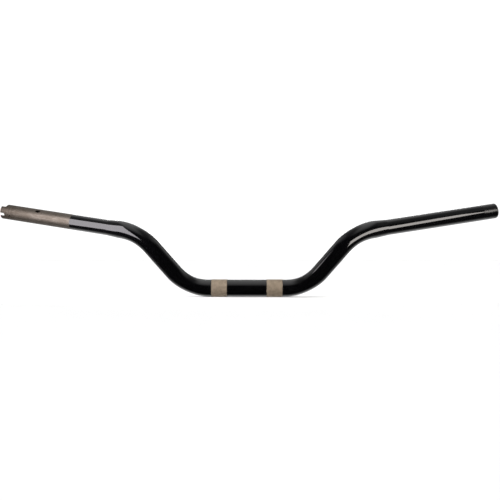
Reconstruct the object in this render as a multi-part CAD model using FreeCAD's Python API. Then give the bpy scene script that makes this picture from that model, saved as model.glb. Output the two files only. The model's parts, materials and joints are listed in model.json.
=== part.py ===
import FreeCAD, Part
import math
import os

# A motorcycle handlebar: a bent steel main tube with two thinner straight grip tubes set into
# its ends. The origin is on the clamp centreline, midway between the two riser seats. +X points
# to the rider's left (the clutch side), +Y to the rider, +Z up. Millimetres and degrees.

Vector = FreeCAD.Vector

# Overall sizes
OVERALL_WIDTH = 850.0  # tip to tip along X
RISE = 130.0  # from the clamp centreline up to the centre of each tip

# Shape of the centreline
BEND_RADIUS = 76.2  # all four bends come off one bending die
LEG_ANGLE = 50.0  # how steeply the legs climb, from the X axis
LEG_LEAN = 12.0  # how far the plane of the legs leans forward
ARM_RISE = 8.5  # how much the arms still climb towards their tips
ARM_SWEEP = 16.0  # how much the arms sweep back to the rider

# Main tube
MAIN_DIAMETER = 28.6
MAIN_WALL = 3.0
SOCKET_WALL = 1.85  # wall left round a grip tube's spigot
SOCKET_CLEARANCE = 0.05
SPIGOT_STEP = 0.3  # how far a grip tube is turned down to enter the socket
STUB_LENGTH = 1.5  # full diameter left between the last bend and the taper
NOSE_LENGTH = 13.5  # taper turned on the main tube
WELD_LENGTH = 6.0  # rest of the taper, which is weld metal ground flush
WELD_TOE = 0.25  # height of the weld metal where it ends on the grip tube

# Knurled riser seats
SEAT_SPACING = 91.5
SEAT_LENGTH = 27.0
SEAT_PROUD = 0.25  # how far the knurl's crests stand out of the main tube
SEAT_DEPTH = 0.6  # how deep the knurled band reaches into the main tube
SEAT_TO_BEND = 3.25  # plain straight tube between a seat and the first bend

# Grip tubes
SENSOR_WALL = 2.4  # wall round the throttle sensor
SENSOR_BORE_DEPTH = 112.0
LEAD_WALL = 4.2  # wall round the sensor's lead
CLUTCH_WALL = 3.0

# Throttle tip. Angles run downwards from the side that faces forward.
TIP_CHAMFER = 0.5
NOTCH_DEPTH = 8.5
WIDE_NOTCH_ANGLE = -90.0
WIDE_NOTCH_SPAN = 98.0
WIDE_NOTCH_CORNER = 1.5
KEY_NOTCH_WIDTH = 5.6
KEY_NOTCH_ANGLE = 27.0
PIN_HOLE_RADIUS = 1.6
PIN_HOLE_FROM_TIP = 19.0
PIN_HOLE_ANGLE = 31.0
LEAD_SLOT_WIDTH = 6.0
LEAD_SLOT_LENGTH = 9.0
LEAD_SLOT_FROM_TIP = 70.3
LEAD_SLOT_ANGLE = -45.0

# Clutch end plug
PLUG_HEAD = 3.0
PLUG_ROUNDING = 2.2
PLUG_SPIGOT = 16.0
PLUG_CLEARANCE = 0.05

THROTTLE_SIDE = -1
CLUTCH_SIDE = 1

# Sizes that follow from those above
MAIN_RADIUS = MAIN_DIAMETER / 2
SOCKET_RADIUS = MAIN_RADIUS - SOCKET_WALL
SOCKET_DEPTH = STUB_LENGTH + NOSE_LENGTH
SPIGOT_RADIUS = SOCKET_RADIUS - SOCKET_CLEARANCE
SPIGOT_LENGTH = SOCKET_DEPTH + WELD_LENGTH
GRIP_RADIUS = SPIGOT_RADIUS + SPIGOT_STEP  # 12.7, for 1 in grips and controls
CLUTCH_BORE_RADIUS = GRIP_RADIUS - CLUTCH_WALL
CLAMP_STRAIGHT = SEAT_SPACING + SEAT_LENGTH + 2 * SEAT_TO_BEND


def leg_heading(side):
    """Direction of a leg as it climbs away from the centre."""
    climb, lean = math.radians(LEG_ANGLE), math.radians(LEG_LEAN)
    up = math.sin(climb)
    return Vector(side * math.cos(climb), -up * math.sin(lean), up * math.cos(lean))


def arm_heading(side):
    """Direction of an arm, out towards its tip."""
    climb, sweep = math.radians(ARM_RISE), math.radians(ARM_SWEEP)
    flat = math.cos(climb)
    return Vector(side * flat * math.cos(sweep), flat * math.sin(sweep), math.sin(climb))


def corner_setback(heading, new_heading):
    """Distance from the corner of two runs to where the bend between them begins."""
    return BEND_RADIUS * math.tan(heading.getAngle(new_heading) / 2)


def straight_lengths():
    """Lengths of a leg and an arm that give the overall width and the rise."""
    out, leg, arm = Vector(1, 0, 0), leg_heading(1), arm_heading(1)
    bends = (out + leg) * corner_setback(out, leg) + (leg + arm) * corner_setback(leg, arm)
    tip_x = OVERALL_WIDTH / 2 - GRIP_RADIUS * math.sqrt(1 - arm.x**2)
    need_x = tip_x - CLAMP_STRAIGHT / 2 - bends.x
    need_z = RISE - bends.z
    det = leg.x * arm.z - arm.x * leg.z
    leg_length = (need_x * arm.z - arm.x * need_z) / det
    arm_length = (leg.x * need_z - need_x * leg.z) / det
    return leg_length, arm_length


def cylinder(start, heading, length, radius):
    return Part.makeCylinder(radius, length, start, heading)


def bend_centre(start, heading, new_heading):
    """Centre and axis of the bend that turns one heading into the other."""
    axis = heading.cross(new_heading).normalize()
    return start + axis.cross(heading) * BEND_RADIUS, axis


def bent_rod(start, heading, new_heading, radius):
    """Solid round bar along one bend."""
    centre, axis = bend_centre(start, heading, new_heading)
    section = Part.Face(Part.Wire(Part.makeCircle(radius, start, heading)))
    return section.revolve(centre, axis, math.degrees(heading.getAngle(new_heading)))


def bend_end(start, heading, new_heading):
    return start + (heading + new_heading) * corner_setback(heading, new_heading)


def arm_start(side):
    """Where the last bend ends and the arm begins."""
    out, leg, arm = Vector(side, 0, 0), leg_heading(side), arm_heading(side)
    leg_start = bend_end(out * (CLAMP_STRAIGHT / 2), out, leg)
    leg_length, _ = straight_lengths()
    return bend_end(leg_start + leg * leg_length, leg, arm)


def half_rod(side, radius):
    """Solid round bars from the middle of the clamp to the end of the last bend."""
    out, leg, arm = Vector(side, 0, 0), leg_heading(side), arm_heading(side)
    leg_length, _ = straight_lengths()
    first_bend = out * (CLAMP_STRAIGHT / 2)
    leg_start = bend_end(first_bend, out, leg)
    leg_end = leg_start + leg * leg_length
    return [
        cylinder(Vector(), out, CLAMP_STRAIGHT / 2, radius),
        bent_rod(first_bend, out, leg, radius),
        cylinder(leg_start, leg, leg_length, radius),
        bent_rod(leg_end, leg, arm, radius),
    ]


def taper_radius(from_stub):
    """Outer radius of the taper at a distance from the stub's end."""
    drop = MAIN_RADIUS - GRIP_RADIUS - WELD_TOE
    return MAIN_RADIUS - drop * from_stub / (NOSE_LENGTH + WELD_LENGTH)


def main_nose(side):
    """Straight stub and turned taper that carry a grip tube."""
    start, arm = arm_start(side), arm_heading(side)
    taper_start = start + arm * STUB_LENGTH
    stub = cylinder(start, arm, STUB_LENGTH, MAIN_RADIUS)
    nose_tip = taper_radius(NOSE_LENGTH)
    nose = Part.makeCone(MAIN_RADIUS, nose_tip, NOSE_LENGTH, taper_start, arm)
    return [stub, nose]


def seat_ring(x, outer, inner):
    start = Vector(x - SEAT_LENGTH / 2, 0, 0)
    along = Vector(1, 0, 0)
    ring = cylinder(start, along, SEAT_LENGTH, outer)
    return ring.cut(cylinder(start, along, SEAT_LENGTH, inner))


def main_tube():
    """Bent tube with a socket in each end and a shallow band for each riser seat."""
    sides = (THROTTLE_SIDE, CLUTCH_SIDE)
    outside, inside = [], []
    for side in sides:
        outside += half_rod(side, MAIN_RADIUS) + main_nose(side)
        inside += half_rod(side, MAIN_RADIUS - MAIN_WALL)
        inside.append(cylinder(arm_start(side), arm_heading(side), SOCKET_DEPTH, SOCKET_RADIUS))
    tube = outside[0].multiFuse(outside[1:]).removeSplitter()
    tube = tube.cut(inside[0].multiFuse(inside[1:]).removeSplitter())
    for side in sides:
        clear_of_knurl = MAIN_RADIUS + 2 * SEAT_PROUD
        band = seat_ring(side * SEAT_SPACING / 2, clear_of_knurl, MAIN_RADIUS - SEAT_DEPTH)
        tube = tube.cut(band)
    return tube


def riser_seat(side):
    """Knurled steel band that a riser clamps."""
    outer, inner = MAIN_RADIUS + SEAT_PROUD, MAIN_RADIUS - SEAT_DEPTH
    return seat_ring(side * SEAT_SPACING / 2, outer, inner)


def on_arm(shape, side):
    """Move a shape made along local +Z, from its tip inwards, onto an arm. Local +X is forward."""
    _, arm_length = straight_lengths()
    arm = arm_heading(side)
    tip = arm_start(side) + arm * arm_length
    inward = -arm
    down = inward.cross(Vector(0, -1, 0)).normalize()
    forward = down.cross(inward)
    shape.Placement = FreeCAD.Placement(tip, FreeCAD.Rotation(forward, down, inward, "ZXY"))
    return shape


def turned(shape, angle):
    """Turn a cutter about the arm's axis."""
    shape.rotate(Vector(), Vector(0, 0, 1), angle)
    return shape


def key_notch():
    """Round-bottomed cut through the wall, open at the tip."""
    half, reach = KEY_NOTCH_WIDTH / 2, GRIP_RADIUS + 1
    bottom = NOTCH_DEPTH - half
    slot = Part.makeBox(reach, KEY_NOTCH_WIDTH, bottom + 1, Vector(0, -half, -1))
    end = Part.makeCylinder(half, reach, Vector(0, 0, bottom), Vector(1, 0, 0))
    return turned(slot.fuse(end), KEY_NOTCH_ANGLE)


def wide_notch():
    """Cut of a wide sector of the wall at the tip, with rounded inner corners."""
    half = math.radians(WIDE_NOTCH_SPAN / 2)
    reach = 2 * GRIP_RADIUS
    across, along = reach * math.sin(half), reach * math.cos(half)
    corners = [Vector(0, 0, -1), Vector(along, across, -1), Vector(along, -across, -1)]
    outline = Part.makePolygon(corners + corners[:1])
    sector = Part.Face(outline).extrude(Vector(0, 0, NOTCH_DEPTH + 1))
    inner = [edge for edge in sector.Edges if is_inner_corner(edge, along)]
    return turned(sector.makeFillet(WIDE_NOTCH_CORNER, inner), WIDE_NOTCH_ANGLE)


def is_inner_corner(edge, along):
    """True for the two radial edges at the bottom of the wide notch."""
    ends = [vertex.Point for vertex in edge.Vertexes]
    at_bottom = all(abs(point.z - NOTCH_DEPTH) < 1e-6 for point in ends)
    across_open_side = all(abs(point.x - along) < 1e-6 for point in ends)
    return at_bottom and not across_open_side


def pin_hole():
    reach = GRIP_RADIUS + 1
    hole = Part.makeCylinder(PIN_HOLE_RADIUS, reach, Vector(0, 0, PIN_HOLE_FROM_TIP), Vector(1, 0, 0))
    return turned(hole, PIN_HOLE_ANGLE)


def lead_slot():
    """Round-ended slot along the arm for the throttle sensor's lead."""
    half, reach = LEAD_SLOT_WIDTH / 2, GRIP_RADIUS + 1
    straight = LEAD_SLOT_LENGTH - LEAD_SLOT_WIDTH
    start = LEAD_SLOT_FROM_TIP - straight / 2
    middle = Part.makeBox(reach, LEAD_SLOT_WIDTH, straight, Vector(0, -half, start))
    ends = [
        Part.makeCylinder(half, reach, Vector(0, 0, z), Vector(1, 0, 0))
        for z in (start, start + straight)
    ]
    return turned(middle.multiFuse(ends), LEAD_SLOT_ANGLE)


def grip_blank(start):
    """Round bar of a grip tube, turned down where it enters the weld and the socket."""
    _, length = straight_lengths()
    shoulder = length - SPIGOT_LENGTH
    grip = Part.makeCylinder(GRIP_RADIUS, shoulder - start, Vector(0, 0, start))
    return grip.fuse(Part.makeCylinder(SPIGOT_RADIUS, SPIGOT_LENGTH, Vector(0, 0, shoulder)))


def throttle_grip_tube():
    """Grip tube with the throttle sensor's bore, notched tip, pin hole and lead slot."""
    _, length = straight_lengths()
    tube = grip_blank(0).cut(Part.makeCylinder(GRIP_RADIUS - SENSOR_WALL, SENSOR_BORE_DEPTH))
    tube = tube.cut(Part.makeCylinder(GRIP_RADIUS - LEAD_WALL, length))
    rims = [edge for edge in tube.Edges if edge.BoundBox.ZMax < 1e-6]
    tube = tube.makeChamfer(TIP_CHAMFER, rims)
    for cutter in (wide_notch(), key_notch(), pin_hole(), lead_slot()):
        tube = tube.cut(cutter)
    return on_arm(tube, THROTTLE_SIDE)


def clutch_grip_tube():
    """Plain grip tube that ends against the plug's head."""
    _, length = straight_lengths()
    bore = Part.makeCylinder(CLUTCH_BORE_RADIUS, length)
    return on_arm(grip_blank(PLUG_HEAD).cut(bore), CLUTCH_SIDE)


def clutch_end_plug():
    """Round-edged head as wide as the grip tube, on a spigot inside it."""
    head = Part.makeCylinder(GRIP_RADIUS, PLUG_HEAD)
    rim = [edge for edge in head.Edges if edge.BoundBox.ZMax < 1e-6]
    head = head.makeFillet(PLUG_ROUNDING, rim)
    spigot_radius = CLUTCH_BORE_RADIUS - PLUG_CLEARANCE
    spigot = Part.makeCylinder(spigot_radius, PLUG_SPIGOT, Vector(0, 0, PLUG_HEAD))
    return on_arm(head.fuse(spigot), CLUTCH_SIDE)


def weld_ring(side):
    """Weld metal between the main tube's nose and the grip tube, ground to the same taper."""
    _, arm_length = straight_lengths()
    start = Vector(0, 0, arm_length - SPIGOT_LENGTH)
    toe_radius = GRIP_RADIUS + WELD_TOE
    back_radius = taper_radius(NOSE_LENGTH)
    along = Vector(0, 0, 1)
    ring = Part.makeCone(toe_radius, back_radius, WELD_LENGTH, start, along)
    ring = ring.cut(Part.makeCylinder(SPIGOT_RADIUS, WELD_LENGTH, start))
    return on_arm(ring, side)


PARTS = {
    "main_tube": main_tube(),
    "throttle_grip_tube": throttle_grip_tube(),
    "clutch_grip_tube": clutch_grip_tube(),
    "throttle_weld": weld_ring(THROTTLE_SIDE),
    "clutch_weld": weld_ring(CLUTCH_SIDE),
    "riser_seat_right": riser_seat(THROTTLE_SIDE),
    "riser_seat_left": riser_seat(CLUTCH_SIDE),
    "clutch_end_plug": clutch_end_plug(),
}

os.makedirs("parts", exist_ok=True)
for name, shape in PARTS.items():
    shape.exportStep(f"parts/{name}.step")
    print(name, "valid" if shape.isValid() else "INVALID", len(shape.Solids), "solid", round(shape.Volume))
leg_length, arm_length = straight_lengths()
print(f"leg {leg_length:.2f} mm, arm {arm_length:.2f} mm")
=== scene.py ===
import json
import math

import bpy
import numpy as np
from mathutils import Matrix, Vector, noise


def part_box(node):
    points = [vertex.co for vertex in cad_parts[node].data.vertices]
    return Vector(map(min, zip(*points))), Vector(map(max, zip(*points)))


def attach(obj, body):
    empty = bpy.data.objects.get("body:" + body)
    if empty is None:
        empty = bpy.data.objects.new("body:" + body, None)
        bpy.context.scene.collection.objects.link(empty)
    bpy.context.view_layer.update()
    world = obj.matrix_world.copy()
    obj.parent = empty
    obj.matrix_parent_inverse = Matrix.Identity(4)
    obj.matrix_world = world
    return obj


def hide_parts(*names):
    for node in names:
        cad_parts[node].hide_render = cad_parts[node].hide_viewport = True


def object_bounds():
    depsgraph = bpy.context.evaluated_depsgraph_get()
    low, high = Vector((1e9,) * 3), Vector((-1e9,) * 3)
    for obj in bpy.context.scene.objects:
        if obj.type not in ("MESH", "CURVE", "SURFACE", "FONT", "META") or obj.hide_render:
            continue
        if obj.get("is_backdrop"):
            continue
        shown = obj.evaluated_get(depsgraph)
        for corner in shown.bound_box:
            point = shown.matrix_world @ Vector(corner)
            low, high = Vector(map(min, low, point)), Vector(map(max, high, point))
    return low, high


# A bent tubular motorcycle handlebar in gloss black coat, with bare knurled riser seats and a
# bare throttle end. Metres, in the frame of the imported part: +X to the rider's left, +Z up.

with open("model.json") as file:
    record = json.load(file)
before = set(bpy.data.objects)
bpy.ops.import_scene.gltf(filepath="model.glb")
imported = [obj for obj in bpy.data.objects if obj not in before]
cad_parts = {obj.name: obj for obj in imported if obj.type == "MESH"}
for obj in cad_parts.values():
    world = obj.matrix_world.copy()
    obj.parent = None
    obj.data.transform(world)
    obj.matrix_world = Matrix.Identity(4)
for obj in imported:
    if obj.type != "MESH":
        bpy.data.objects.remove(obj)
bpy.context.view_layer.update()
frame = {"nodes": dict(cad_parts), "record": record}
NODES = frame["nodes"]
MOUNTS = {mount["name"]: mount for mount in frame["record"]["mounts"]}
MM = 0.001

# ---------------------------------------------------------------- sizes taken from the frame
OUT = Vector((1, 0, 0))
MAIN_RADIUS = -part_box("main_tube")[0].z
SEAT_LENGTH = MOUNTS["riser_seat_left"]["dims"]["length_mm"] * MM
SEAT_CREST = MOUNTS["riser_seat_left"]["dims"]["r_mm"] * MM
SEAT_MIDDLE = MOUNTS["riser_seat_left"]["pos_m"][0]
GRIP_RADIUS = MOUNTS["clutch_grip"]["dims"]["r_mm"] * MM

# ---------------------------------------------------------------- driving sizes of the main tube
BEND_RADIUS = 76.2 * MM
LEG_ANGLE = math.radians(50)
LEG_LEAN = math.radians(12)
SEAT_TO_BEND = 3.25 * MM
MAIN_WALL = 3.0 * MM
SOCKET_RADIUS = 12.45 * MM
SEAT_DEPTH = 0.6 * MM
STUB_LENGTH = 1.5 * MM
NOSE_LENGTH = 13.5 * MM
NOSE_RADIUS = 13.3231 * MM
BEND_FLATTENING = 0.055  # share of the radius lost across the middle of a bend

AROUND = 96  # facets round a tube
BEND_STEPS = 56


def node_points(node):
    return [vertex.co for vertex in NODES[node].data.vertices]


def mount_line(name):
    """A point on a grip tube's axis and the outward heading."""
    mount = MOUNTS[name]
    return Vector(mount["pos_m"]), Vector(mount["axis"]).normalized()


def leg_heading(side):
    up = math.sin(LEG_ANGLE)
    return Vector((side * math.cos(LEG_ANGLE), -up * math.sin(LEG_LEAN), up * math.cos(LEG_LEAN)))


def setback(heading, new_heading):
    return BEND_RADIUS * math.tan(heading.angle(new_heading) / 2)


class Station:
    """One cross-section of the tube: its centre, heading, and the direction of any bend's centre."""

    def __init__(self, point, heading, inward=None, flat=0.0):
        self.point, self.heading, self.inward, self.flat = point, heading, inward, flat


def bend_stations(start, heading, new_heading):
    """Cross-sections along one bend, without its first."""
    axis = heading.cross(new_heading).normalized()
    to_centre = axis.cross(heading)
    centre = start + to_centre * BEND_RADIUS
    angle = heading.angle(new_heading)
    stations = []
    for step in range(1, BEND_STEPS + 1):
        turn = angle * step / BEND_STEPS
        along = heading * math.cos(turn) + to_centre * math.sin(turn)
        inward = axis.cross(along)
        flat = BEND_FLATTENING * math.sin(math.pi * step / BEND_STEPS) ** 2
        stations.append(Station(centre - inward * BEND_RADIUS, along, inward, flat))
    return stations


def half_path(side):
    """Cross-sections from the first bend's start to the arm's start."""
    out, leg = OUT * side, leg_heading(side)
    on_arm, arm = mount_line("throttle_grip" if side < 0 else "clutch_grip")
    first = out * (SEAT_MIDDLE + SEAT_LENGTH / 2 + SEAT_TO_BEND)
    leg_start = first + (out + leg) * setback(out, leg)
    corner = leg_start + (leg + arm) * setback(leg, arm)
    gap = on_arm - corner
    leg_length = (gap.x * arm.z - gap.z * arm.x) / (leg.x * arm.z - leg.z * arm.x)
    stations = [Station(first, out)] + bend_stations(first, out, leg)
    leg_end = leg_start + leg * leg_length
    stations.append(Station(leg_end, leg))
    return stations + bend_stations(leg_end, leg, arm)


def arm_point(name, beyond_start):
    """A point on an arm, at a distance out from where the last bend ends."""
    side = -1 if name == "throttle_grip" else 1
    start = half_path(side)[-1].point
    return start + mount_line(name)[1] * beyond_start


def centre_stops():
    """X of the bands' ends along the straight middle, with each stretch's outer radius."""
    near, far = SEAT_MIDDLE - SEAT_LENGTH / 2, SEAT_MIDDLE + SEAT_LENGTH / 2
    band = MAIN_RADIUS - SEAT_DEPTH
    return [
        (-far, MAIN_RADIUS), (-far, band), (-near, band), (-near, MAIN_RADIUS),
        (near, MAIN_RADIUS), (near, band), (far, band), (far, MAIN_RADIUS),
    ]


def flipped(station):
    return Station(station.point, -station.heading, station.inward, station.flat)


def outer_rings():
    """Cross-sections and radii of the outside, from the throttle side's nose to the clutch side's."""
    rings = []
    for side in (-1, 1):
        name = "throttle_grip" if side < 0 else "clutch_grip"
        arm = mount_line(name)[1]
        stub = Station(arm_point(name, STUB_LENGTH), arm)
        nose = Station(arm_point(name, STUB_LENGTH + NOSE_LENGTH), arm)
        half = [(station, MAIN_RADIUS) for station in half_path(side)]
        half += [(stub, MAIN_RADIUS), (nose, NOSE_RADIUS)]
        if side < 0:
            rings += [(flipped(station), radius) for station, radius in reversed(half)]
            rings += [(Station(OUT * x, OUT), radius) for x, radius in centre_stops()]
        else:
            rings += half
    return rings


def inner_rings():
    """Cross-sections and radii of the bore and its two sockets, in the same order."""
    rings = []
    bore = MAIN_RADIUS - MAIN_WALL
    for side in (-1, 1):
        name = "throttle_grip" if side < 0 else "clutch_grip"
        arm = mount_line(name)[1]
        nose = Station(arm_point(name, STUB_LENGTH + NOSE_LENGTH), arm)
        path = half_path(side)
        half = [(station, bore) for station in path]
        half += [(path[-1], SOCKET_RADIUS), (nose, SOCKET_RADIUS)]
        if side < 0:
            half = [(flipped(station), radius) for station, radius in reversed(half)]
        rings += half
    return rings


def ring_points(rings, around):
    """Points of each ring, on frames carried along the path without twist."""
    angles = np.arange(around) * 2 * math.pi / around
    up = Vector((0, 0, 1))
    points = []
    for station, radius in rings:
        heading = station.heading
        up = (up - heading * up.dot(heading)).normalized()
        across = np.array(heading.cross(up))
        offset = radius * (np.outer(np.cos(angles), np.array(up)) + np.outer(np.sin(angles), across))
        if station.inward is not None:
            inward = np.array(station.inward)
            offset -= station.flat * np.outer(offset @ inward, inward)
        points.append(np.array(station.point) + offset)
    return np.array(points)


def closed_skin(name, rings, around):
    """A mesh whose rings join in a loop, outside first and then back along the bore."""
    count = len(rings)
    index = np.arange(count * around).reshape(count, around)
    here, ahead = index, np.roll(index, -1, axis=0)
    quads = np.stack([here, np.roll(here, -1, axis=1), np.roll(ahead, -1, axis=1), ahead], axis=-1)
    mesh = bpy.data.meshes.new(name)
    mesh.from_pydata(rings.reshape(-1, 3).tolist(), [], quads.reshape(-1, 4).tolist())
    mesh.validate()
    piece = bpy.data.objects.new(name, mesh)
    bpy.context.scene.collection.objects.link(piece)
    return piece


def finish_piece(piece, material, slot, *nodes, sharp=math.radians(30)):
    """Shade the piece, give it its material, and let it stand for its CAD node."""
    mesh = piece.data
    mesh.shade_smooth()
    mesh.set_sharp_from_angle(angle=sharp)
    mesh.materials.append(material)
    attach(piece, "root")
    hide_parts(*nodes)


def main_tube(material):
    outside = ring_points(outer_rings(), AROUND)
    inside = ring_points(inner_rings(), AROUND)
    skin = np.concatenate([outside, inside[::-1]])
    piece = closed_skin("bent_main_tube", skin, AROUND)
    finish_piece(piece, material, "gloss_black_coat", "main_tube")


# ---------------------------------------------------------------- knurled surfaces

KNURL_SAMPLES = 4  # points per pitch, both ways
KNURL_FLAT = 0.72  # share of full height where a crest is flat
WEAR_PER_ROW = 0.045  # how fast the wear changes, in noise units
WEAR_ROUND = 3  # radius of the circle of noise that goes once round a band


def triangle(turns):
    """0 on a groove and 1 on a crest."""
    return 1 - np.abs(2 * (turns - np.floor(turns)) - 1)


def knurl_height(rows, around):
    """Height, 0 to 1, of a diamond knurl with truncated crests, on a grid of points."""
    down, round_ = np.meshgrid(np.arange(rows), np.arange(around), indexing="ij")
    one, other = (down + round_) / (2 * KNURL_SAMPLES), (down - round_) / (2 * KNURL_SAMPLES)
    height = np.minimum(triangle(one), triangle(other)) / KNURL_FLAT
    return np.minimum(height, 1.0)


def worn(height, seed, depth):
    """Crests rolled unevenly, as a hand-fed knurling tool leaves them."""
    rows, around = height.shape
    result = height.copy()
    for row in range(rows):
        for spoke in range(around):
            turn = 2 * math.pi * spoke / around
            across, up = WEAR_ROUND * math.cos(turn), WEAR_ROUND * math.sin(turn)
            spot = Vector((row * WEAR_PER_ROW, across, up + seed))
            result[row, spoke] *= 1 - depth * (0.5 + 0.5 * noise.noise(spot))
    return result


def rolled_rings(origin, heading, along, radii):
    """Points of rings about a straight axis: radii is one row of radii for each place in along."""
    around = radii.shape[1]
    angles = np.arange(around) * 2 * math.pi / around
    up = Vector((0, 0, 1))
    up = (up - heading * up.dot(heading)).normalized()
    across = np.array(heading.cross(up))
    spokes = np.outer(np.cos(angles), np.array(up)) + np.outer(np.sin(angles), across)
    centres = np.array(origin) + np.outer(along, np.array(heading))
    return centres[:, None, :] + radii[:, :, None] * spokes[None, :, :]


SEAT_PITCHES = 76
SEAT_KNURL_DEPTH = 0.25 * MM
SEAT_CHAMFER = 0.35 * MM
SEAT_WEAR = 0.35


def riser_seat(name, middle, seed, material):
    """One bare knurled band with broken ends, on its own bore."""
    around = SEAT_PITCHES * KNURL_SAMPLES
    rows = 2 * round(SEAT_LENGTH / (2 * math.pi * SEAT_CREST / around) / 2) + 1
    along = np.linspace(-SEAT_LENGTH / 2, SEAT_LENGTH / 2, rows)
    height = worn(knurl_height(rows, around), seed, SEAT_WEAR)
    ends = np.clip((SEAT_LENGTH / 2 - np.abs(along)) / SEAT_CHAMFER, 0, 1)
    radii = SEAT_CREST - SEAT_KNURL_DEPTH * (1 - height * ends[:, None])
    outside = rolled_rings(OUT * middle, OUT, along, radii)
    bore = np.full((2, around), MAIN_RADIUS - SEAT_DEPTH)
    inside = rolled_rings(OUT * middle, OUT, np.array([SEAT_LENGTH, -SEAT_LENGTH]) / 2, bore)
    piece = closed_skin(name + "_knurl", np.concatenate([outside, inside]), around)
    finish_piece(piece, material, "knurled_steel", name, sharp=math.radians(12))


GRIP_PITCHES = 80
GRIP_KNURL_DEPTH = 0.14 * MM
GRIP_KNURL_LENGTH = 25.6 * MM
GRIP_KNURL_FADE = 1.2 * MM  # length over which the knurl runs out
GRIP_WEAR = 0.5
GRIP_WALL = 3.0 * MM
SPIGOT_RADIUS = 12.4 * MM
SPIGOT_LENGTH = 21.0 * MM


def clutch_tube(material):
    """The plain grip tube, lightly knurled under its coat where it meets the end plug."""
    middle, heading = mount_line("clutch_grip")
    start = arm_point("clutch_grip", 0)
    tip = MOUNTS["clutch_grip"]["dims"]["length_mm"] * MM + SPIGOT_LENGTH
    around = GRIP_PITCHES * KNURL_SAMPLES
    step = 2 * math.pi * GRIP_RADIUS / around
    rows = 2 * round(GRIP_KNURL_LENGTH / step / 2) + 1
    knurl_start = tip - GRIP_KNURL_LENGTH
    knurled = np.linspace(knurl_start, tip, rows)
    height = worn(knurl_height(rows, around), 7.0, GRIP_WEAR)
    to_end = np.minimum(knurled - knurl_start, tip - knurled)
    fade = np.clip(to_end / GRIP_KNURL_FADE, 0, 1)
    knurl = GRIP_RADIUS - GRIP_KNURL_DEPTH * (1 - height) * fade[:, None]
    plain = [(0, SPIGOT_RADIUS), (SPIGOT_LENGTH, SPIGOT_RADIUS), (SPIGOT_LENGTH, GRIP_RADIUS)]
    plain_radii = np.array([[radius] * around for _, radius in plain])
    along = np.concatenate([[place for place, _ in plain], knurled])
    outside = rolled_rings(start, heading, along, np.concatenate([plain_radii, knurl]))
    bore = np.full((2, around), GRIP_RADIUS - GRIP_WALL)
    inside = rolled_rings(start, heading, np.array([tip, 0]), bore)
    piece = closed_skin("coated_clutch_tube", np.concatenate([outside, inside]), around)
    finish_piece(piece, material, "gloss_black_coat", "clutch_grip_tube", sharp=math.radians(35))


# ---------------------------------------------------------------- materials

class Shader:
    """A node material round one Principled shader, in object coordinates."""

    def __init__(self, name):
        self.material = bpy.data.materials.new(name)
        self.material.use_nodes = True
        self.tree = self.material.node_tree
        self.surface = self.tree.nodes["Principled BSDF"]
        self.place = self.tree.nodes.new("ShaderNodeTexCoord").outputs["Object"]

    def set(self, socket, value):
        """A constant is set on the socket, and anything else is linked to it."""
        if isinstance(value, bpy.types.NodeSocket):
            self.tree.links.new(value, self.surface.inputs[socket])
        else:
            self.surface.inputs[socket].default_value = value

    def node(self, kind, values, **settings):
        made = self.tree.nodes.new(kind)
        for key, value in settings.items():
            setattr(made, key, value)
        for socket, value in values.items():
            if isinstance(value, bpy.types.NodeSocket):
                self.tree.links.new(value, made.inputs[socket])
            else:
                made.inputs[socket].default_value = value
        return made.outputs

    def math(self, operation, *values):
        return self.node("ShaderNodeMath", dict(enumerate(values)), operation=operation)[0]

    def vector(self, operation, *values, output=0):
        made = self.node("ShaderNodeVectorMath", dict(enumerate(values)), operation=operation)
        return made[output]

    def scaled(self, vector, factor):
        return self.node("ShaderNodeVectorMath", {0: vector, "Scale": factor}, operation="SCALE")[0]

    def noise(self, place, scale, detail=2.0, rough=0.5):
        values = {"Vector": place, "Scale": scale, "Detail": detail, "Roughness": rough}
        return self.node("ShaderNodeTexNoise", values)["Fac"]

    def remap(self, value, low, high, to_low, to_high, smooth=False):
        values = {"Value": value, "From Min": low, "From Max": high, "To Min": to_low, "To Max": to_high}
        kind = "SMOOTHSTEP" if smooth else "LINEAR"
        return self.node("ShaderNodeMapRange", values, interpolation_type=kind)["Result"]

    def mix(self, share, one, other):
        """Colours one and other mixed by a share from 0 to 1."""
        values = {0: share, 6: one, 7: other}
        return self.node("ShaderNodeMix", values, data_type="RGBA")[2]

    def blend(self, share, one, other):
        """Numbers one and other mixed by a share from 0 to 1."""
        return self.node("ShaderNodeMix", {0: share, 2: one, 3: other})[0]

    def bump(self, height, distance, below=None):
        values = {"Height": height, "Distance": distance, "Strength": 1.0}
        if below is not None:
            values["Normal"] = below
        return self.node("ShaderNodeBump", values)["Normal"]


COAT_BLACK = (0.0011, 0.0011, 0.0013, 1)
COAT_DUST = (0.0042, 0.0042, 0.0045, 1)
COAT_ROUGHNESS = (0.05, 0.10)
COAT_THICKNESS = 0.08 * MM
SAG_DEPTH = 0.012 * MM
PEEL_DEPTH = 0.0014 * MM
REFRACTION = 1.5  # of the coat, for every material here


def coat_colour(shader):
    """Deep black with a faint, uneven bloom of dust and handling."""
    cloud = shader.noise(shader.place, 38, 4, 0.6)
    return shader.mix(shader.remap(cloud, 0.5, 0.8, 0, 0.35, True), COAT_BLACK, COAT_DUST)


def coat_roughness(shader):
    """Polished, with soft smears and fine rubbed patches."""
    smear = shader.noise(shader.place, 60, 3)
    fine = shader.noise(shader.place, 900, 2)
    level = shader.math("MULTIPLY_ADD", fine, 0.25, shader.math("MULTIPLY", smear, 0.75))
    return shader.remap(level, 0.3, 0.7, *COAT_ROUGHNESS, True)


def coat_normal(shader):
    """Orange peel a millimetre or two across, over a slower sag of the sprayed coat."""
    sag = shader.bump(shader.noise(shader.place, 110, 1), SAG_DEPTH)
    return shader.bump(shader.noise(shader.place, 650, 2), PEEL_DEPTH, sag)


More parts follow.
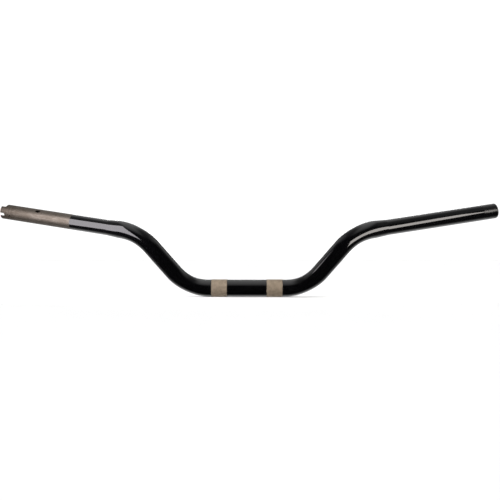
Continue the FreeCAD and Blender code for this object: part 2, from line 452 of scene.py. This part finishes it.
def gloss_coat(name):
    shader = Shader(name)
    shader.set("Base Color", coat_colour(shader))
    shader.set("Roughness", coat_roughness(shader))
    shader.set("Normal", coat_normal(shader))
    shader.set("Specular IOR Level", 0.5)
    shader.set("IOR", REFRACTION)
    return shader.material


BARE_LENGTH = 134.0 * MM  # from the tip to where the coat begins
COAT_EDGE = 1.2 * MM  # length over which the coat thins out
COAT_EDGE_WANDER = 1.6 * MM
GROOVE_SHADE_LENGTH = (24 * MM, 28 * MM)  # painted shade of turned grooves ends between these distances from the tip
TIP_DARKENING_LENGTH = 80 * MM  # the bare end darkens over this distance towards its tip
DRAWN_SHARE = 0.93  # how far the drawing marks are stretched along the tube
STEEL_RELIEF = 0.035 * MM
STEEL_METAL = 0.85
STEEL_LIGHT = (0.090, 0.079, 0.066, 1)
STEEL_DARK = (0.054, 0.044, 0.034, 1)
STEEL_GROOVE_SHADE = (0.030, 0.023, 0.018, 1)
STEEL_ROUGHNESS = (0.40, 0.52)


def bare_throttle_end(name):
    """Drawn bare steel that gives way to black coat part of the way along the arm."""
    shader = Shader(name)
    outward = mount_line("throttle_grip")[1]
    tip = throttle_tip()
    to_place = shader.vector("SUBTRACT", shader.place, tip)
    from_tip = shader.vector("DOT_PRODUCT", to_place, -outward, output=1)
    drawn_out = shader.scaled(outward, shader.math("MULTIPLY", from_tip, DRAWN_SHARE))
    streaks = shader.noise(shader.vector("ADD", shader.place, drawn_out), 700, 4, 0.65)
    stains = shader.noise(shader.place, 95, 4, 0.6)
    rings = shader.node("ShaderNodeCombineXYZ", {"X": from_tip})[0]
    turning = shader.noise(rings, 1500, 1)
    # Dark rings near the tip are painted shade standing in for shallow turned grooves.
    groove_shade = shader.remap(shader.noise(rings, 520, 2), 0.5, 0.62, 0, 0.75)
    near_tip = shader.remap(from_tip, *GROOVE_SHADE_LENGTH, 1, 0)
    ragged = shader.noise(shader.place, 420, 3)
    edge = shader.math("MULTIPLY_ADD", ragged, COAT_EDGE_WANDER, from_tip)
    coated = shader.remap(edge, BARE_LENGTH, BARE_LENGTH + COAT_EDGE, 0, 1, True)
    # The bare steel is made darker towards the tip.
    tip_darkening = shader.remap(from_tip, 0, TIP_DARKENING_LENGTH, -0.14, 0)
    mottle = shader.math("MULTIPLY_ADD", stains, 0.5, tip_darkening)
    tone = shader.math("MULTIPLY_ADD", streaks, 0.5, mottle)
    drawn = shader.mix(shader.remap(tone, 0.35, 0.65, 0, 1), STEEL_DARK, STEEL_LIGHT)
    steel = shader.mix(shader.math("MULTIPLY", groove_shade, near_tip), drawn, STEEL_GROOVE_SHADE)
    steel_rough = shader.remap(tone, 0.35, 0.65, STEEL_ROUGHNESS[1], STEEL_ROUGHNESS[0])
    bare = shader.math("SUBTRACT", 1.0, coated)
    shader.set("Base Color", shader.mix(coated, steel, coat_colour(shader)))
    shader.set("Metallic", shader.math("MULTIPLY", bare, STEEL_METAL))
    shader.set("Roughness", shader.blend(coated, steel_rough, coat_roughness(shader)))
    relief = shader.math("MULTIPLY_ADD", turning, 0.6, shader.math("MULTIPLY", streaks, 0.4))
    machined = shader.bump(shader.math("MULTIPLY", relief, bare), STEEL_RELIEF)
    lip = shader.bump(coated, COAT_THICKNESS, machined)
    shader.set("Normal", lip)
    shader.set("IOR", REFRACTION)
    return shader.material


def throttle_tip():
    """Centre of the throttle tube's notched end."""
    middle, outward = mount_line("throttle_grip")
    reach = [(corner - middle).dot(outward) for corner in node_points("throttle_grip_tube")]
    return middle + outward * max(reach)


SEAT_GROOVE_SHADE = (0.165, 0.128, 0.09, 1)
SEAT_DULL = (0.30, 0.24, 0.17, 1)
SEAT_BRIGHT = (0.52, 0.425, 0.315, 1)
SEAT_METAL = 0.5
SEAT_ROUGHNESS = (0.48, 0.6)
OVERSPRAY_WANDER = 2.2 * MM
OVERSPRAY_ROUGHNESS = 0.12
BEYOND_SEAT = (0.2 * MM, 0.7 * MM)  # bare steel gives way to overspray, before the edge wanders
BELOW_CREST = (0.22 * MM, 0.06 * MM)  # painted shade in the grooves gives way to plain steel


def knurled_steel(name):
    """Rolled bare steel with painted shade in its grooves and overspray on its two ends."""
    shader = Shader(name)
    apart = shader.node("ShaderNodeSeparateXYZ", {"Vector": shader.place})
    radial = shader.node("ShaderNodeCombineXYZ", {"X": apart[1], "Y": apart[2]})[0]
    from_axis = shader.vector("LENGTH", radial, output=1)
    crest = shader.remap(from_axis, *(SEAT_CREST - below for below in BELOW_CREST), 0, 1)
    stains = shader.noise(shader.place, 130, 4, 0.65)
    off_centre = shader.math("ABSOLUTE", apart[0])
    from_middle = shader.math("ABSOLUTE", shader.math("SUBTRACT", off_centre, SEAT_MIDDLE))
    wander = shader.noise(shader.place, 170, 3, 0.6)
    ragged = shader.math("MULTIPLY_ADD", wander, OVERSPRAY_WANDER, from_middle)
    edges = (SEAT_LENGTH / 2 + beyond for beyond in BEYOND_SEAT)
    sprayed = shader.remap(ragged, *edges, 0, 1, True)
    patches = shader.remap(stains, 0.35, 0.65, 0, 1)
    light = shader.mix(patches, SEAT_DULL, SEAT_BRIGHT)
    # Grooves are painted darker than crests: painted shade in the knurl's recesses.
    steel = shader.mix(crest, SEAT_GROOVE_SHADE, light)
    shader.set("Base Color", shader.mix(sprayed, steel, COAT_BLACK))
    shader.set("Metallic", shader.math("MULTIPLY_ADD", sprayed, -SEAT_METAL, SEAT_METAL))
    rough = shader.remap(stains, 0.3, 0.7, SEAT_ROUGHNESS[1], SEAT_ROUGHNESS[0])
    shader.set("Roughness", shader.blend(sprayed, rough, OVERSPRAY_ROUGHNESS))
    shader.set("Normal", shader.bump(shader.noise(shader.place, 2400, 3), 0.03 * MM))
    shader.set("IOR", REFRACTION)
    return shader.material


PLUG_DARK = (0.006, 0.006, 0.0065, 1)
PLUG_LIGHT = (0.014, 0.014, 0.015, 1)
PLUG_ROUGHNESS = (0.2, 0.34)


def satin_plug(name):
    """Satin black with a fine grain."""
    shader = Shader(name)
    cloud = shader.noise(shader.place, 240, 4)
    shader.set("Base Color", shader.mix(cloud, PLUG_DARK, PLUG_LIGHT))
    grain = shader.noise(shader.place, 500, 3)
    shader.set("Roughness", shader.remap(grain, 0.3, 0.7, *PLUG_ROUGHNESS))
    shader.set("Normal", shader.bump(shader.noise(shader.place, 1500, 3), 0.02 * MM))
    shader.set("IOR", REFRACTION)
    return shader.material


def dress(node, material):
    """Give a CAD node its material."""
    piece = NODES[node]
    piece.data.materials.clear()
    piece.data.materials.append(material)


# ---------------------------------------------------------------- studio

CAMERA_PLACE = Vector((0.045, -1.4993, 0.06316))
CAMERA_HEADING = Vector((-0.02667, 0.99964, 0))
CAMERA_LENS = 65.12
FLOOR_HALF = 6.0
FLOOR_WHITE = 0.9
BACKGROUND = 1.15  # white that the eye and matt surfaces see, just past full
CEILING = 1.25  # brightest each part of the room gets in a reflection
SWEEP = 1.75
STRIP = 3.6


def camera():
    data = bpy.data.cameras.new("camera")
    data.lens = CAMERA_LENS
    data.sensor_width = 36
    data.clip_start, data.clip_end = 0.01, 100
    made = bpy.data.objects.new("camera", data)
    made.location = CAMERA_PLACE
    made.rotation_euler = CAMERA_HEADING.to_track_quat("-Z", "Y").to_euler()
    bpy.context.scene.collection.objects.link(made)
    bpy.context.scene.camera = made


def softbox(name, place, facing, across, width, height, radiance, tint):
    """An area light of a given radiance, seen in reflections but not by the camera."""
    data = bpy.data.lights.new(name, "AREA")
    data.shape = "RECTANGLE"
    data.size, data.size_y = width, height
    data.energy = radiance * math.pi * width * height
    data.color = tint
    made = bpy.data.objects.new(name, data)
    back = -Vector(facing).normalized()
    side = (Vector(across) - back * back.dot(Vector(across))).normalized()
    turn = Matrix((side, back.cross(side), back)).transposed().to_4x4()
    made.matrix_world = Matrix.Translation(place) @ turn
    made.visible_camera = False
    bpy.context.scene.collection.objects.link(made)
    return made


def floor():
    """A wide pale floor under the bar."""
    half, level = FLOOR_HALF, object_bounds()[0].z
    mesh = bpy.data.meshes.new("floor")
    corners = [(-half, -half, level), (half, -half, level), (half, half, level), (-half, half, level)]
    mesh.from_pydata(corners, [], [(0, 1, 2, 3)])
    piece = bpy.data.objects.new("floor", mesh)
    bpy.context.scene.collection.objects.link(piece)
    shader = Shader("pale_floor")
    shader.set("Base Color", (FLOOR_WHITE, FLOOR_WHITE, FLOOR_WHITE, 1))
    shader.set("Roughness", 0.9)
    mesh.materials.append(shader.material)
    piece.visible_glossy = False
    piece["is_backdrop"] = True


def studio_world():
    """White to the eye. In reflections a room that is bright above and behind, and dark in front."""
    world = bpy.data.worlds.new("studio")
    world.use_nodes = True
    bpy.context.scene.world = world
    tree = world.node_tree
    tree.nodes.clear()

    def add(kind, *values, **settings):
        made = tree.nodes.new(kind)
        for key, value in settings.items():
            setattr(made, key, value)
        for socket, value in enumerate(values):
            if isinstance(value, bpy.types.NodeSocket):
                tree.links.new(value, made.inputs[socket])
            elif value is not None:
                made.inputs[socket].default_value = value
        return made.outputs

    def ramp(value, low, high, at_low, at_high):
        return add("ShaderNodeMapRange", value, low, high, at_low, at_high, clamp=True)[0]

    def times(one, other):
        return add("ShaderNodeMath", one, other, operation="MULTIPLY")[0]

    def plus(one, other):
        return add("ShaderNodeMath", one, other, operation="ADD")[0]

    across, depth, up = add("ShaderNodeSeparateXYZ", add("ShaderNodeTexCoord")["Generated"])
    back = add("ShaderNodeMath", depth, 0.0, operation="MAXIMUM")[0]
    aside = add("ShaderNodeMath", across, operation="ABSOLUTE")[0]

    # A panel overhead, dimmer to the back, with spill beyond its two ends.
    panel = plus(ramp(aside, 0.14, 0.34, 1.0, 0.2), ramp(aside, 0.5, 0.75, 0.0, 0.8))
    dimmed = times(ramp(back, 0.3, 0.75, 1.0, 0.45), panel)
    overhead = plus(times(back, 0.9), up)
    ceiling = times(ramp(overhead, 0.5, 0.97, 0.0, CEILING), dimmed)

    # Lit ground behind, which fades towards the horizon and to both sides.
    ground = times(ramp(up, -0.36, -0.62, 0.15, 1.0), ramp(aside, 0.45, 0.8, 1.0, 0.2))
    sweep = times(ramp(back, 0.0, 0.75, 0.0, SWEEP), ground)

    # A strip light low down behind.
    level = times(ramp(up, 0.05, 0.07, 0.0, STRIP), ramp(up, 0.2, 0.22, 1.0, 0.0))
    strip = times(level, ramp(back, 0.45, 0.5, 0.0, 1.0))

    room = plus(ceiling, plus(sweep, strip))
    reflected = add("ShaderNodeLightPath")["Is Glossy Ray"]
    strength = add("ShaderNodeMix", reflected, None, BACKGROUND, room)[0]
    add("ShaderNodeOutputWorld", add("ShaderNodeBackground", (1, 1, 1, 1), strength)[0])


main_tube(gloss_coat("gloss_black_coat"))
seat_steel = knurled_steel("knurled_steel")
riser_seat("riser_seat_right", -SEAT_MIDDLE, 1.0, seat_steel)
riser_seat("riser_seat_left", SEAT_MIDDLE, 4.0, seat_steel)
clutch_tube(gloss_coat("gloss_black_grip"))
dress("throttle_grip_tube", bare_throttle_end("bare_steel"))
dress("throttle_weld", gloss_coat("gloss_black_weld"))
dress("clutch_weld", bpy.data.materials["gloss_black_weld"])
dress("clutch_end_plug", satin_plug("satin_black"))

camera()
floor()
studio_world()
softbox("left_box", (-0.404, -0.154, 0.145), (0.344, 0.935, -0.089), (0.917, -0.315, 0.245),
        width=0.310, height=0.300, radiance=8.0, tint=(1.0, 0.96, 1.01))
softbox("right_box", (0.426, -0.194, 0.1035), (-0.387, 0.77, 0.507), (0.855, 0.045, 0.508),
        width=0.458, height=0.132, radiance=8.8, tint=(1.0, 0.95, 0.905))
bpy.context.scene.view_settings.view_transform = "Standard"
